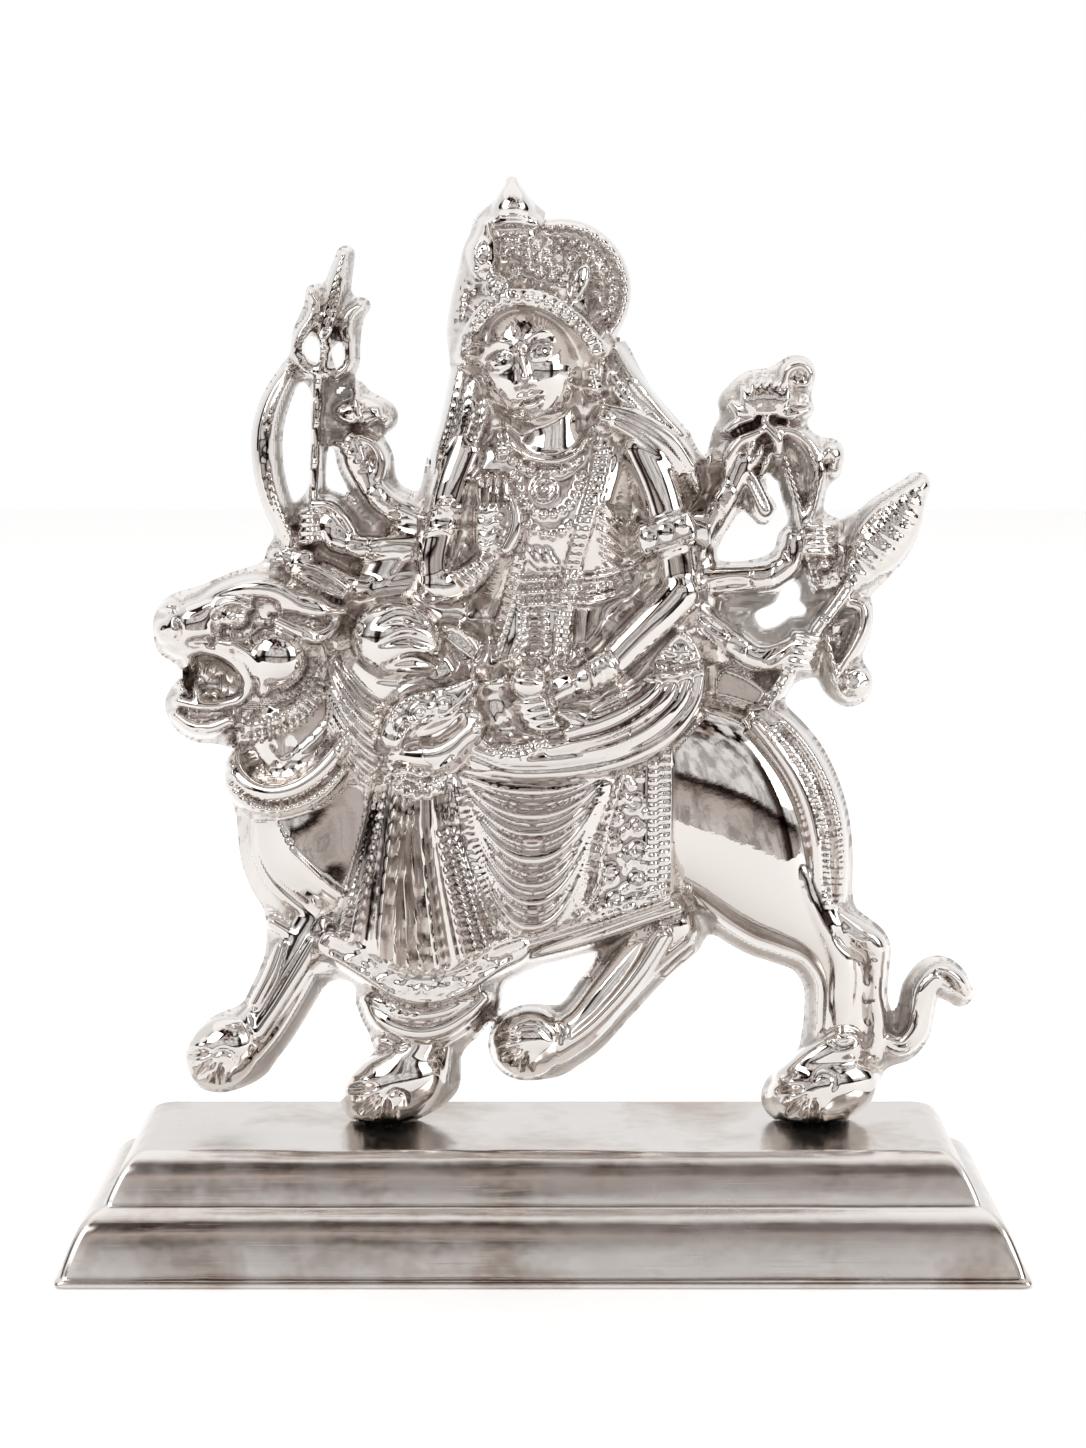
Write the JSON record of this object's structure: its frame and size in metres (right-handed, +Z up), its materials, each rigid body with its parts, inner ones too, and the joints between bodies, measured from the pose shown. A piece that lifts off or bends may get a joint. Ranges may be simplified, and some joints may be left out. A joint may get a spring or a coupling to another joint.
{
  "type": "goddess figurine",
  "caption": "Polished silver relief figurine of a many-armed goddess riding a walking tiger, standing on a stepped plinth.",
  "frame": {"origin": "centre of the plinth's underside", "axes": "+Z up, the figure faces -Y, +X to the viewer's right along the plinth's length"},
  "size_m": [0.2, 0.073, 0.2246],
  "materials": {
    "figure_silver": "mirror-polished silver, satin in the recesses and on the drafted edges",
    "plinth_silver": "polished silver sheet with fine scratches"
  },
  "bodies": {
    "root": {"figure": "figure_silver", "plinth": "plinth_silver"}
  },
  "joints": []
}
